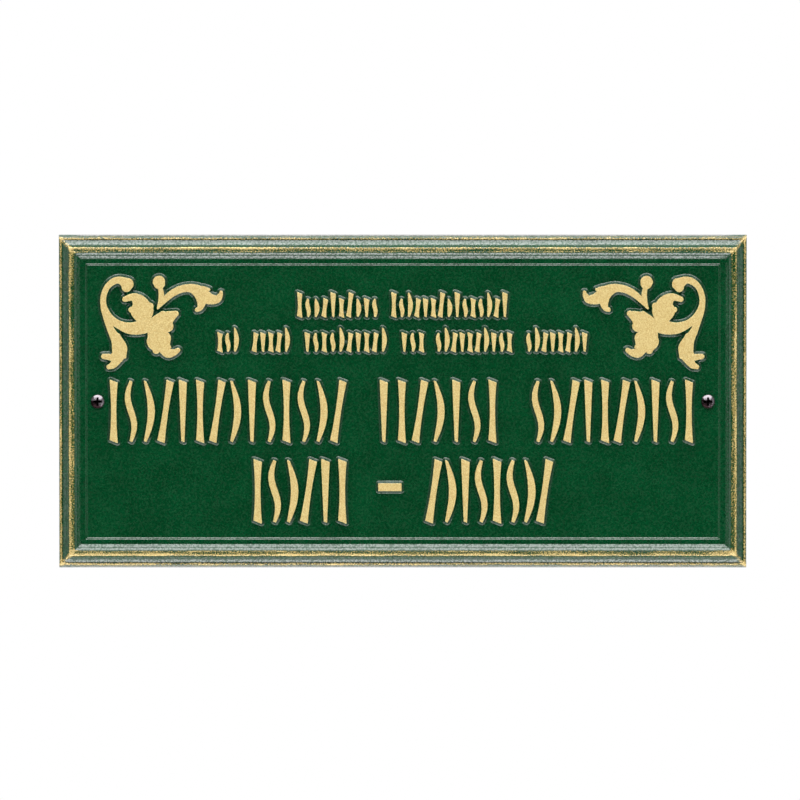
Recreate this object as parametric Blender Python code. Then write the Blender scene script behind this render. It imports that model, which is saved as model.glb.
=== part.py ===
"""Commemorative wall plaque, in metres, +Z up, front facing -Y.

One painted aluminium casting carries a moulded border, a sunk field, a pair of
leaf scrolls and four rows of raised pen strokes. Two pan-head screws hold it.
The origin is the centre of the back, in the plane that lies on the wall.
Heights are measured from that plane towards the front, so a height h is y = -h.
"""

import itertools
import math

import bmesh
import bpy
import numpy as np
from mathutils import Matrix, Vector
from mathutils.geometry import delaunay_2d_cdt

# Overall size of the casting
PLAQUE_WIDTH = 0.413
PLAQUE_HEIGHT = 0.200

# Moulded border, from the outer edge inwards
END_DRAFT = 0.0003
LONG_DRAFT = 0.0014
SIDE_WALL_HEIGHT = 0.0046
BEAD_WIDTH = 0.0018
BEAD_RISE = 0.0009
QUIRK_DROP = 0.0005
COVE_WIDTH = 0.0040
COVE_RISE = 0.0036
ROLL_WIDTH = 0.0018
ROLL_RISE = 0.0011
HOLLOW_WIDTH = 0.0010
HOLLOW_DEPTH = 0.0005
FILLET_WIDTH = 0.0008
OGEE_WIDTH = 0.0042
OGEE_DROP = 0.0022
BAND_WIDTH = 0.0021
STEP_WIDTH = 0.0014
STEP_DROP = 0.0006
COVE_FACETS = 5
OGEE_FACETS = 5

# Relief on the field
RELIEF_HEIGHT = 0.0022
RELIEF_DRAFT = 0.0006

# Back of the casting: two pockets with a rib between them
BACK_RIM = 0.012
BACK_RIB = 0.016
POCKET_DEPTH = 0.0030
POCKET_DRAFT = 0.0010
POCKET_CORNER = 0.006
CORNER_FACETS = 4

# Screws
SCREW_INSET = 0.0235
SCREW_HEAD_DIAMETER = 0.0082
SCREW_HEAD_HEIGHT = 0.0029
SCREW_HEAD_EDGE = 0.0010
SCREW_SHANK_DIAMETER = 0.0042
SCREW_LENGTH = 0.032
SCREW_TIP_LENGTH = 0.005
SCREW_HOLE_CLEARANCE = 0.0005
SCREW_SEAT_GAP = 0.0003
RECESS_SPAN = 0.0046
RECESS_WIDTH = 0.0011
RECESS_DEPTH = 0.0018
RECESS_FLOOR_SHARE = 0.45
RECESS_OVERRUN = 0.001
ROUND_FACETS = 24

# Leaf scroll: its outer top corner, measured in from the casting's edges
SCROLL_END_INSET = 0.0253
SCROLL_TOP_INSET = 0.0249
SCROLL_STEPS = 3
TIP_FACETS = 5

# Each limb of the scroll runs through stations of (across, down, half width),
# in millimetres from the scroll's outer top corner.
SCROLL_LIMBS = {
    "curled_stem": [
        (16.1, 4.6, 3.7), (11.6, 2.3, 2.1), (7.6, 3.2, 1.9), (4.0, 6.5, 1.7), (1.9, 11.8, 1.7),
        (1.8, 16.9, 1.8), (3.0, 21.6, 2.2), (6.1, 31.6, 2.1), (9.8, 38.5, 3.3), (11.3, 44.6, 4.3),
    ],
    "curl_end": [(16.3, 4.9, 3.5), (15.6, 6.4, 2.9)],
    "foot_lobe": [
        (10.2, 37.2, 2.8), (11.6, 43.2, 4.1), (12.2, 47.0, 3.6), (9.0, 50.8, 2.4), (5.9, 53.9, 1.5),
    ],
    "foot_curl": [(11.6, 45.4, 3.6), (7.2, 48.6, 2.2), (1.9, 48.1, 1.5)],
    "foot_heel": [(12.0, 43.6, 3.9), (13.8, 47.2, 2.4), (14.2, 47.9, 1.4)],
    "stalk": [
        (2.4, 19.8, 1.9), (5.6, 25.4, 2.6), (10.6, 29.3, 2.8), (17.6, 31.1, 3.4), (25.0, 30.4, 4.0),
        (30.6, 28.6, 3.4),
    ],
    "upper_petal": [
        (28.4, 29.8, 2.8), (25.8, 25.6, 4.4), (24.2, 20.9, 6.2), (23.9, 17.4, 5.7), (22.2, 14.2, 3.9),
        (19.0, 12.5, 2.2), (14.6, 13.7, 1.5),
    ],
    "upper_petal_shoulder": [(25.4, 20.0, 4.8), (28.2, 20.0, 3.5), (28.2, 22.6, 3.1), (27.4, 25.4, 2.7)],
    "upper_petal_bump": [(24.4, 20.8, 4.4), (18.4, 20.0, 1.6)],
    "side_petal": [
        (29.6, 30.6, 3.0), (34.3, 28.0, 4.7), (38.3, 26.5, 5.5), (41.6, 24.2, 3.6), (45.2, 22.3, 1.7),
    ],
    "side_petal_peak": [(35.4, 27.0, 3.8), (37.4, 23.0, 2.2)],
    "side_petal_lobe": [(36.0, 28.2, 4.4), (40.4, 29.9, 3.3)],
    "lower_petal": [
        (31.2, 29.8, 3.0), (33.1, 35.0, 5.1), (34.5, 38.7, 6.8), (37.2, 42.8, 5.6), (40.6, 45.9, 3.0),
        (44.0, 45.6, 1.9), (46.5, 44.2, 1.3),
    ],
    "lower_petal_side": [(34.4, 37.0, 6.0), (38.6, 36.6, 3.6)],
    "lower_petal_heel": [(33.4, 40.4, 5.0), (33.2, 44.5, 1.9)],
    "bud": [(35.1, 3.4, 3.7), (35.3, 4.2, 3.4)],
    "bud_stalk": [(35.8, 6.6, 1.3), (36.5, 10.8, 1.6), (35.8, 15.4, 1.2), (34.3, 19.0, 0.5)],
    "spray": [
        (34.4, 19.2, 0.5), (37.8, 14.9, 1.5), (42.2, 10.8, 2.0), (47.6, 7.9, 2.1), (53.4, 7.0, 2.4),
        (58.0, 8.6, 3.5), (61.4, 11.4, 4.2), (66.0, 13.6, 3.1), (70.0, 13.6, 2.3), (71.8, 11.4, 1.5),
        (72.3, 9.6, 1.0),
    ],
    "spray_lobe": [(60.6, 11.6, 3.6), (60.5, 16.4, 2.4), (59.4, 19.2, 1.6), (57.8, 20.0, 1.2)],
}

# Pen strokes of the inscription. Up its height, t = 0 to 1, a stroke drifts
# sideways by lean*(t-1/2) + bulge*(sin(pi t)-1/2) + wave*sin(2 pi t) heights,
# and is waist + flare*(2t-1)^2 + taper*(t-1/2) pen widths across.
PEN_STROKES = {
    "stem": dict(lean=0.0, bulge=0.0, wave=0.0, waist=0.86, flare=0.46, taper=0.0, steps=2),
    "lean": dict(lean=0.15, bulge=0.0, wave=0.0, waist=0.90, flare=0.30, taper=0.0, steps=2),
    "bow": dict(lean=0.0, bulge=0.10, wave=0.0, waist=1.15, flare=-0.72, taper=0.0, steps=4),
    "wave": dict(lean=0.0, bulge=0.0, wave=0.055, waist=1.08, flare=-0.62, taper=0.0, steps=5),
    "wedge": dict(lean=0.0, bulge=0.0, wave=0.0, waist=0.92, flare=0.0, taper=0.80, steps=1),
}
PEN_ORDER = ("stem", "wave", "bow", "lean", "wedge", "stem", "lean", "bow", "wedge", "wave")
PEN_CUT = 0.35

# Rows of strokes, from the top: full stroke height, pen width, pitch, how far
# strokes drift (1 is the whole drift above), the heights that repeat along the
# row as shares of the full one, and each word's (start, end) as shares of the
# field's half width.
INSCRIPTION = [
    dict(
        tall=0.0142, pen=0.0024, pitch=0.0049, swing=0.7,
        shares=(1.0, 0.75, 0.75, 0.75, 1.0, 0.75),
        words=[(-0.340, -0.075), (-0.041, 0.336)],
    ),
    dict(
        tall=0.0140, pen=0.0024, pitch=0.0049, swing=0.7,
        shares=(0.78, 0.78, 1.0, 0.78, 0.78),
        words=[
            (-0.592, -0.517), (-0.481, -0.355), (-0.316, -0.047), (-0.009, 0.073), (0.101, 0.351),
            (0.387, 0.589),
        ],
    ),
    dict(
        tall=0.0362, pen=0.0036, pitch=0.0102, swing=1.0,
        shares=(1.0,),
        words=[(-0.944, -0.177), (-0.089, 0.313), (0.402, 0.934)],
    ),
    dict(
        tall=0.0369, pen=0.0038, pitch=0.0100, swing=1.0,
        shares=(1.0,),
        words=[(-0.487, -0.165), (0.073, 0.475)],
    ),
]
# The rows leave these shares of the field's free height above, between and below them
ROW_GAPS = (0.266, 0.110, 0.289, 0.185, 0.150)
# The dash in the last row: (across, up) as shares of the field's half width and the row
DASH_PLACE = (-0.041, 0.566)
DASH_LENGTH = 0.0139
DASH_THICKNESS = 0.0045

# Finishes: colour, roughness, metallic
GREEN_PAINT = ((0.004, 0.052, 0.018, 1.0), 0.42, 0.0)
DARK_STEEL = ((0.055, 0.045, 0.045, 1.0), 0.30, 1.0)
SHARP_ANGLE = math.radians(35)

# Points nearer than this in a flat outline become one
MERGE_DISTANCE = 0.00003


def clear_scene():
    for obj in list(bpy.data.objects):
        bpy.data.objects.remove(obj)


def finish_material(name, finish):
    colour, roughness, metallic = finish
    material = bpy.data.materials.new(name)
    material.use_nodes = True
    shader = material.node_tree.nodes["Principled BSDF"]
    shader.inputs["Base Color"].default_value = colour
    shader.inputs["Roughness"].default_value = roughness
    shader.inputs["Metallic"].default_value = metallic
    return material


def add_object(name, bm, material=None):
    """A new object from a bmesh, with its faces pointing out."""
    bmesh.ops.recalc_face_normals(bm, faces=bm.faces)
    mesh = bpy.data.meshes.new(name)
    bm.to_mesh(mesh)
    bm.free()
    obj = bpy.data.objects.new(name, mesh)
    bpy.context.scene.collection.objects.link(obj)
    mesh.shade_smooth()
    mesh.set_sharp_from_angle(angle=SHARP_ANGLE)
    if material:
        mesh.materials.append(material)
    else:
        obj.hide_render = True
        obj.display_type = "WIRE"
    return obj


def ring_of(bm, corners, height):
    """Vertices round a flat outline of (x, z) corners, at a height above the back."""
    return [bm.verts.new((x, -height, z)) for x, z in corners]


def bridge(bm, lower, upper):
    """Quads between two rings that have as many vertices as each other."""
    for i in range(len(lower)):
        j = (i + 1) % len(lower)
        bm.faces.new((lower[i], lower[j], upper[j], upper[i]))


def stack_of_rings(bm, rings):
    """A closed solid through rings, with a flat face on the first and the last."""
    bm.faces.new(rings[0])
    for lower, upper in zip(rings, rings[1:]):
        bridge(bm, lower, upper)
    bm.faces.new(rings[-1])


def border_profile():
    """(inset, height) of the moulding from the side wall's top to the field's edge."""
    points = [(0.0, SIDE_WALL_HEIGHT)]
    crest = SIDE_WALL_HEIGHT + BEAD_RISE
    points += [(0.25 * BEAD_WIDTH, crest - 0.25 * BEAD_RISE), (0.6 * BEAD_WIDTH, crest)]
    quirk = crest - QUIRK_DROP
    points.append((BEAD_WIDTH, quirk))
    # The cove is a quarter ellipse, flat at the bead and steep at the ridge.
    for i in range(1, COVE_FACETS + 1):
        turn = 0.5 * math.pi * i / COVE_FACETS
        points.append((BEAD_WIDTH + COVE_WIDTH * math.sin(turn), quirk + COVE_RISE * (1 - math.cos(turn))))
    outer = BEAD_WIDTH + COVE_WIDTH
    top = quirk + COVE_RISE + ROLL_RISE
    # A roll, a hollow and a narrow flat fillet make the ridge.
    points += [(outer + 0.2 * ROLL_WIDTH, top - 0.25 * ROLL_RISE), (outer + 0.5 * ROLL_WIDTH, top)]
    points.append((outer + ROLL_WIDTH, top - 0.5 * HOLLOW_DEPTH))
    points.append((outer + ROLL_WIDTH + 0.5 * HOLLOW_WIDTH, top - HOLLOW_DEPTH))
    points.append((outer + ROLL_WIDTH + HOLLOW_WIDTH, top - 0.2 * HOLLOW_DEPTH))
    inner = outer + ROLL_WIDTH + HOLLOW_WIDTH + FILLET_WIDTH
    points.append((inner, top))
    # The ogee falls as a half wave, round at the ridge and hollow at the band.
    for i in range(1, OGEE_FACETS + 1):
        share = i / OGEE_FACETS
        points.append((inner + OGEE_WIDTH * share, top - OGEE_DROP * 0.5 * (1 - math.cos(math.pi * share))))
    band_end = inner + OGEE_WIDTH + BAND_WIDTH
    points.append((band_end, top - OGEE_DROP))
    points.append((band_end + STEP_WIDTH, top - OGEE_DROP - STEP_DROP))
    return points


FIELD_INSET, FIELD_HEIGHT = border_profile()[-1]
FIELD_HALF_WIDTH = PLAQUE_WIDTH / 2 - END_DRAFT - FIELD_INSET
FIELD_HALF_HEIGHT = PLAQUE_HEIGHT / 2 - LONG_DRAFT - FIELD_INSET
SCREW_X = PLAQUE_WIDTH / 2 - SCREW_INSET


def rectangle(half_width, half_height):
    lower = [(-half_width, -half_height), (half_width, -half_height)]
    return lower + [(half_width, half_height), (-half_width, half_height)]


def rounded_rectangle(centre_z, half_width, half_height, radius):
    """Corners of a rectangle whose four corners are arcs."""
    outline = []
    for quarter, (side_x, side_z) in enumerate(((1, 1), (-1, 1), (-1, -1), (1, -1))):
        for i in range(CORNER_FACETS + 1):
            turn = 0.5 * math.pi * (quarter + i / CORNER_FACETS)
            x = side_x * (half_width - radius) + radius * math.cos(turn)
            z = centre_z + side_z * (half_height - radius) + radius * math.sin(turn)
            outline.append((x, z))
    return outline


def circle(radius, facets=ROUND_FACETS):
    turns = [2 * math.pi * i / facets for i in range(facets)]
    return [(radius * math.cos(t), radius * math.sin(t)) for t in turns]


def smooth_path(stations, steps):
    """Points of a Catmull-Rom curve through the stations, with steps between two."""
    p = np.array(stations)
    p = np.vstack([2 * p[0] - p[1], p, 2 * p[-1] - p[-2]])
    t = np.linspace(0, 1, steps, endpoint=False)[:, None]
    spans = []
    for a, b, c, d in zip(p, p[1:], p[2:], p[3:]):
        cubic = -a + 3 * b - 3 * c + d
        square = 2 * a - 5 * b + 4 * c - d
        spans.append(0.5 * (2 * b + (c - a) * t + square * t**2 + cubic * t**3))
    return np.vstack(spans + [p[-2:-1]])


def limb_outline(stations, spread):
    """Outline of a limb: its path moved out to both sides, with a round cap on each end."""
    path = smooth_path(stations, SCROLL_STEPS)
    along = np.gradient(path[:, :2], axis=0)
    along /= np.linalg.norm(along, axis=1)[:, None]
    across = np.stack([-along[:, 1], along[:, 0]], axis=1)
    reach = path[:, 2:] + spread
    left = path[:, :2] + across * reach
    right = path[:, :2] - across * reach
    turns = np.linspace(0, math.pi, TIP_FACETS + 1)[1:-1, None]
    last = path[-1, :2] + reach[-1] * (np.cos(turns) * across[-1] + np.sin(turns) * along[-1])
    first = path[0, :2] - reach[0] * (np.cos(turns) * across[0] + np.sin(turns) * along[0])
    return np.vstack([left, last, right[::-1], first])


def winding(outline, points):
    """How many times an outline turns round each point."""
    start = outline[None] - points[:, None]
    end = np.roll(outline, -1, axis=0)[None] - points[:, None]
    turn = np.arctan2(
        start[..., 0] * end[..., 1] - start[..., 1] * end[..., 0], (start * end).sum(axis=2)
    )
    return np.rint(turn.sum(axis=1) / (2 * math.pi))


def flat_triangles(outlines):
    """Delaunay triangles that keep every outline's edges: points, triangles, each point's sources."""
    points, edges = [], []
    for outline in outlines:
        first = len(points)
        count = len(outline)
        points += [Vector(p) for p in outline]
        edges += [(first + i, first + (i + 1) % count) for i in range(count)]
    points, _, faces, sources, *_ = delaunay_2d_cdt(points, edges, [], 0, MERGE_DISTANCE)
    return np.array([p[:] for p in points]), faces, sources


def joined_outlines(outlines):
    """The outlines that are left when overlapping shapes run into one another."""
    points, faces, _ = flat_triangles(outlines)
    centres = points[np.array(faces)].mean(axis=1)
    inside = np.any([winding(np.array(outline), centres) != 0 for outline in outlines], axis=0)
    sides = set()
    for face in (f for f, kept in zip(faces, inside) if kept):
        sides.update(zip(face, face[1:] + face[:1]))
    border = {}
    for a, b in sorted(sides):
        if (b, a) not in sides:
            border.setdefault(a, []).append(b)
    loops = []
    while border:
        first = min(border)
        loop, step = [first], first
        while step in border:
            ways = border[step]
            step_on = ways.pop()
            if not ways:
                del border[step]
            step = step_on
            loop.append(step)
        loops.append([tuple(points[i]) for i in loop[:-1]])
    return loops


def skin(bm, loops, holes):
    """Triangles from the first loop inwards, through every other loop and round the holes."""
    verts = [v for loop in loops + holes for v in loop]
    outlines = [[(v.co.x, v.co.z) for v in loop] for loop in loops + holes]
    points, faces, sources = flat_triangles(outlines)
    level = loops[0][0].co.y
    corners = []
    for (x, z), source in zip(points, sources):
        corners.append(verts[source[0]] if source else bm.verts.new((x, level, z)))
    centres = points[np.array(faces)].mean(axis=1)
    cut = np.any([winding(np.array(outline), centres) != 0 for outline in outlines[len(loops):]], axis=0)
    for face in (f for f, is_cut in zip(faces, cut) if not is_cut):
        bm.faces.new([corners[i] for i in face])


def scroll_outlines(side, spread):
    """The limbs of one scroll: side is -1 for the left one and 1 for its mirror image."""
    outlines = []
    for limb in SCROLL_LIMBS.values():
        stations = [(x * 0.001, z * 0.001, half * 0.001) for x, z, half in limb]
        corner_x = PLAQUE_WIDTH / 2 - SCROLL_END_INSET
        corner_z = PLAQUE_HEIGHT / 2 - SCROLL_TOP_INSET
        outlines.append([(side * (corner_x - x), corner_z - z) for x, z in limb_outline(stations, spread)])
    return outlines


def row_feet():
    """Height of each row's foot line: the rows keep their own heights and share out the rest."""
    free = 2 * FIELD_HALF_HEIGHT - sum(row["tall"] for row in INSCRIPTION)
    top = FIELD_HALF_HEIGHT
    feet = []
    for row, gap in zip(INSCRIPTION, ROW_GAPS):
        top -= gap / sum(ROW_GAPS) * free + row["tall"]
        feet.append(top)
    return feet


def stroke_outline(form, row, centre_x, foot, tall, spread):
    """Outline of one pen stroke, with ends cut at the slant of a broad pen."""
    t = np.linspace(0, 1, form["steps"] + 1)
    drift = form["lean"] * (t - 0.5) + form["bulge"] * (np.sin(math.pi * t) - 0.5)
    drift += form["wave"] * np.sin(2 * math.pi * t)
    half = 0.5 * row["pen"] * (form["waist"] + form["flare"] * (2 * t - 1) ** 2 + form["taper"] * (t - 0.5))
    x = centre_x + row["swing"] * tall * drift
    z = foot + tall * t + spread * (2 * t - 1)
    slant = PEN_CUT * half * np.abs(2 * t - 1)
    left = np.stack([x - half - spread, z + slant], axis=1)
    right = np.stack([x + half + spread, z - slant], axis=1)
    return np.vstack([right, left[::-1]])


def row_strokes(row, foot, spread):
    """The strokes of one row's words, at an even pitch that fills each word."""
    kinds = itertools.cycle(PEN_ORDER)
    shares = itertools.cycle(row["shares"])
    outlines = []
    for start, end in row["words"]:
        width = (end - start) * FIELD_HALF_WIDTH
        count = max(1, round(width / row["pitch"]))
        for i in range(count):
            centre_x = start * FIELD_HALF_WIDTH + (i + 0.5) * width / count
            tall = row["tall"] * next(shares)
            outlines.append(stroke_outline(PEN_STROKES[next(kinds)], row, centre_x, foot, tall, spread))
    return outlines


def inscription_outlines(spread):
    """Every pen stroke of the rows, and the dash, as outlines."""
    feet = row_feet()
    dash_x = DASH_PLACE[0] * FIELD_HALF_WIDTH
    dash_z = feet[-1] + DASH_PLACE[1] * INSCRIPTION[-1]["tall"]
    dash = rectangle(DASH_LENGTH / 2 + spread, DASH_THICKNESS / 2 + spread)
    outlines = [[(dash_x + x, dash_z + z) for x, z in dash]]
    for row, foot in zip(INSCRIPTION, feet):
        outlines += row_strokes(row, foot, spread)
    return outlines


def relief_loops(bm):
    """The foot and the top edge of all the relief, as rings of vertices."""
    loops = []
    for spread, height in ((RELIEF_DRAFT, FIELD_HEIGHT), (0.0, FIELD_HEIGHT + RELIEF_HEIGHT)):
        outlines = scroll_outlines(-1, spread) + scroll_outlines(1, spread) + inscription_outlines(spread)
        loops += [ring_of(bm, outline, height) for outline in joined_outlines(outlines)]
    return loops


def pocket_loops(bm):
    """The rim and the floor of both back pockets, with walls that draw from a mould."""
    half_width = PLAQUE_WIDTH / 2 - BACK_RIM
    half_height = (PLAQUE_HEIGHT / 2 - BACK_RIM - BACK_RIB / 2) / 2
    loops = []
    for side in (1, -1):
        centre_z = side * (BACK_RIB / 2 + half_height)
        for draft, height in ((0.0, 0.0), (POCKET_DRAFT, POCKET_DEPTH)):
            outline = rounded_rectangle(centre_z, half_width - draft, half_height - draft, POCKET_CORNER)
            loops.append(ring_of(bm, outline, height))
    return loops


def hole_rings(bm, height):
    radius = SCREW_SHANK_DIAMETER / 2 + SCREW_HOLE_CLEARANCE
    return [ring_of(bm, [(side * SCREW_X + x, z) for x, z in circle(radius)], height) for side in (-1, 1)]


def casting_body():
    """Wall and moulding as rings round the plaque, closed by a front skin and a back skin."""
    bm = bmesh.new()
    rings = [ring_of(bm, rectangle(PLAQUE_WIDTH / 2, PLAQUE_HEIGHT / 2), 0.0)]
    for inset, height in border_profile():
        corners = rectangle(PLAQUE_WIDTH / 2 - END_DRAFT - inset, PLAQUE_HEIGHT / 2 - LONG_DRAFT - inset)
        rings.append(ring_of(bm, corners, height))
    for lower, upper in zip(rings, rings[1:]):
        bridge(bm, lower, upper)
    back_holes = hole_rings(bm, 0.0)
    front_holes = hole_rings(bm, FIELD_HEIGHT)
    for lower, upper in zip(back_holes, front_holes):
        bridge(bm, lower, upper)
    skin(bm, [rings[-1]] + relief_loops(bm), front_holes)
    skin(bm, [rings[0]] + pocket_loops(bm), back_holes)
    return bm


def recess_cutter():
    """A cross that narrows towards its floor, cut into the screw head from the front."""
    bm = bmesh.new()
    front = SCREW_HEAD_HEIGHT + RECESS_OVERRUN
    floor = SCREW_HEAD_HEIGHT - RECESS_DEPTH
    slope = (1 - RECESS_FLOOR_SHARE) / RECESS_DEPTH
    rings = []
    for height in (floor, front):
        span = RECESS_SPAN / 2 * (RECESS_FLOOR_SHARE + slope * (height - floor))
        half = RECESS_WIDTH / 2
        arm = [(span, -half), (span, half), (half, half)]
        outline = []
        for quarter in range(4):
            turn = Matrix.Rotation(quarter * math.pi / 2, 2)
            outline += [tuple(turn @ Vector(p)) for p in arm]
        rings.append(ring_of(bm, outline, height))
    stack_of_rings(bm, rings)
    return bm


def screw_body():
    """A turned pan-head screw. Its head sits on y = 0 and its shank runs to +Y."""
    head = SCREW_HEAD_DIAMETER / 2
    shank = SCREW_SHANK_DIAMETER / 2
    tip_start = SCREW_LENGTH - SCREW_TIP_LENGTH
    profile = [(0.12 * shank, -SCREW_LENGTH), (shank, -tip_start), (shank, 0.0), (head, 0.0)]
    profile.append((head, SCREW_HEAD_EDGE))
    crown = SCREW_HEAD_HEIGHT - SCREW_HEAD_EDGE
    for turn in (0.45, 0.8, 1.15):
        profile.append((head * math.cos(turn), SCREW_HEAD_EDGE + crown * math.sin(turn)))
    profile.append((0.22 * head, SCREW_HEAD_HEIGHT))
    bm = bmesh.new()
    stack_of_rings(bm, [ring_of(bm, circle(radius), height) for radius, height in profile])
    return bm


def build_screws():
    steel = finish_material("dark_steel", DARK_STEEL)
    seat = -(FIELD_HEIGHT + SCREW_SEAT_GAP)
    for name, side in (("left_screw", -1), ("right_screw", 1)):
        screw = add_object(name, screw_body(), steel)
        cutter = add_object(name + "_recess_cutter", recess_cutter())
        modifier = screw.modifiers.new("recess", "BOOLEAN")
        modifier.object = cutter
        for obj in (screw, cutter):
            obj.location = (side * SCREW_X, seat, 0)


clear_scene()
add_object("plaque_casting", casting_body(), finish_material("green_paint", GREEN_PAINT))
build_screws()
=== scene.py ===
# %% [markdown]
# # A cast wall plaque with a moulded border
#
# The object is one aluminium casting, painted dark green, with pale gold on
# everything that stands up: the ridges of its border, a pair of leaf scrolls
# and four rows of pen strokes. Two dark screws hold it to a wall.
#
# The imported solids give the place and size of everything. They come in first
# and stay where they are. The surfaces below repeat them with finer shapes.
# Lengths are in metres, and the front faces -Y.

# %% Load the frame
import itertools
import math

import bpy
import numpy as np
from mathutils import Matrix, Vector
from mathutils.geometry import delaunay_2d_cdt


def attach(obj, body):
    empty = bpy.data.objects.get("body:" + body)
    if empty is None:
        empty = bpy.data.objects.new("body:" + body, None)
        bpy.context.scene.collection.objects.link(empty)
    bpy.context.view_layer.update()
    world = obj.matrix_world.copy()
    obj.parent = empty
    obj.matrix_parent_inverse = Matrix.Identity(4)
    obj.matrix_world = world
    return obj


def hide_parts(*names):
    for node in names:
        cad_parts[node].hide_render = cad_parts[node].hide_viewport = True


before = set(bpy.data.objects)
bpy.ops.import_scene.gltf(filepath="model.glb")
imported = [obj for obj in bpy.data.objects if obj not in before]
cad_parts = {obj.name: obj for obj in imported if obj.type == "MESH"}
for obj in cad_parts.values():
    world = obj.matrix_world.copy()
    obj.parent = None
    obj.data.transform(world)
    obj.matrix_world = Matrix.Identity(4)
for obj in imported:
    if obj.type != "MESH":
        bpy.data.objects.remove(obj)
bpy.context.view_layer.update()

# %% [markdown]
# ## The sizes that the surfaces share with the solids
#
# A height is measured from the wall towards the viewer, so a height h lies at
# y = -h. An inset is measured from the top edge of the casting's side wall
# towards the middle of the plaque.

# %% Sizes of the casting
PLAQUE_WIDTH = 0.413
PLAQUE_HEIGHT = 0.200
END_DRAFT = 0.0003
LONG_DRAFT = 0.0014
SIDE_WALL_HEIGHT = 0.0046
BEAD_WIDTH = 0.0018
BEAD_RISE = 0.0009
QUIRK_DROP = 0.0005
COVE_WIDTH = 0.0040
COVE_RISE = 0.0036
ROLL_WIDTH = 0.0018
ROLL_RISE = 0.0011
HOLLOW_WIDTH = 0.0010
HOLLOW_DEPTH = 0.0005
FILLET_WIDTH = 0.0008
OGEE_WIDTH = 0.0042
OGEE_DROP = 0.0022
BAND_WIDTH = 0.0021
STEP_WIDTH = 0.0014
STEP_DROP = 0.0006
RELIEF_HEIGHT = 0.0022

# %% [markdown]
# ## The border's moulding
#
# On the real plaque the pattern maker cut one moulding, mitred it round a
# board and pressed the whole pattern in sand, so the border is a profile
# carried along a rectangle. From outside in it has a side wall, a small bead,
# a cove, a ridge made of a roll, a hollow and a flat fillet, a falling ogee, a
# flat band and a double step down to the field.
#
# Joined formulas keep every curve smooth. Each part also says how much gold a
# rubbed cloth leaves on it: most on what stands highest. Over 1 is gold all
# over, and 0 is green paint.

# %% Finer shapes and the gold, which the solids leave out
COVE_START, COVE_END = math.radians(20), math.radians(64)
ROLL_FALL = 0.36 * HOLLOW_DEPTH
HOLLOW_ARCH = 0.14 * HOLLOW_DEPTH
HOLLOW_SLOPE = 0.16 * HOLLOW_DEPTH
OGEE_EASE = 0.20
CREASE_DEPTH = 0.00013
CREASE_PLACE = 0.33
STEP_RUN = 0.44
BEAD_GOLD = 0.82
ROLL_FOOT_GOLD = 0.14
ROLL_GOLD = 0.90
ROLL_END_GOLD = 0.44
HOLLOW_GOLD = 0.46
FILLET_GOLD = 0.42
FILLET_END_GOLD = 0.12


# %% The profile, from the wall to the field
def turns(count):
    """Shares from 0 to 1, without 0, because the part before ends there."""
    return np.linspace(0, 1, count + 1)[1:]


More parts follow.
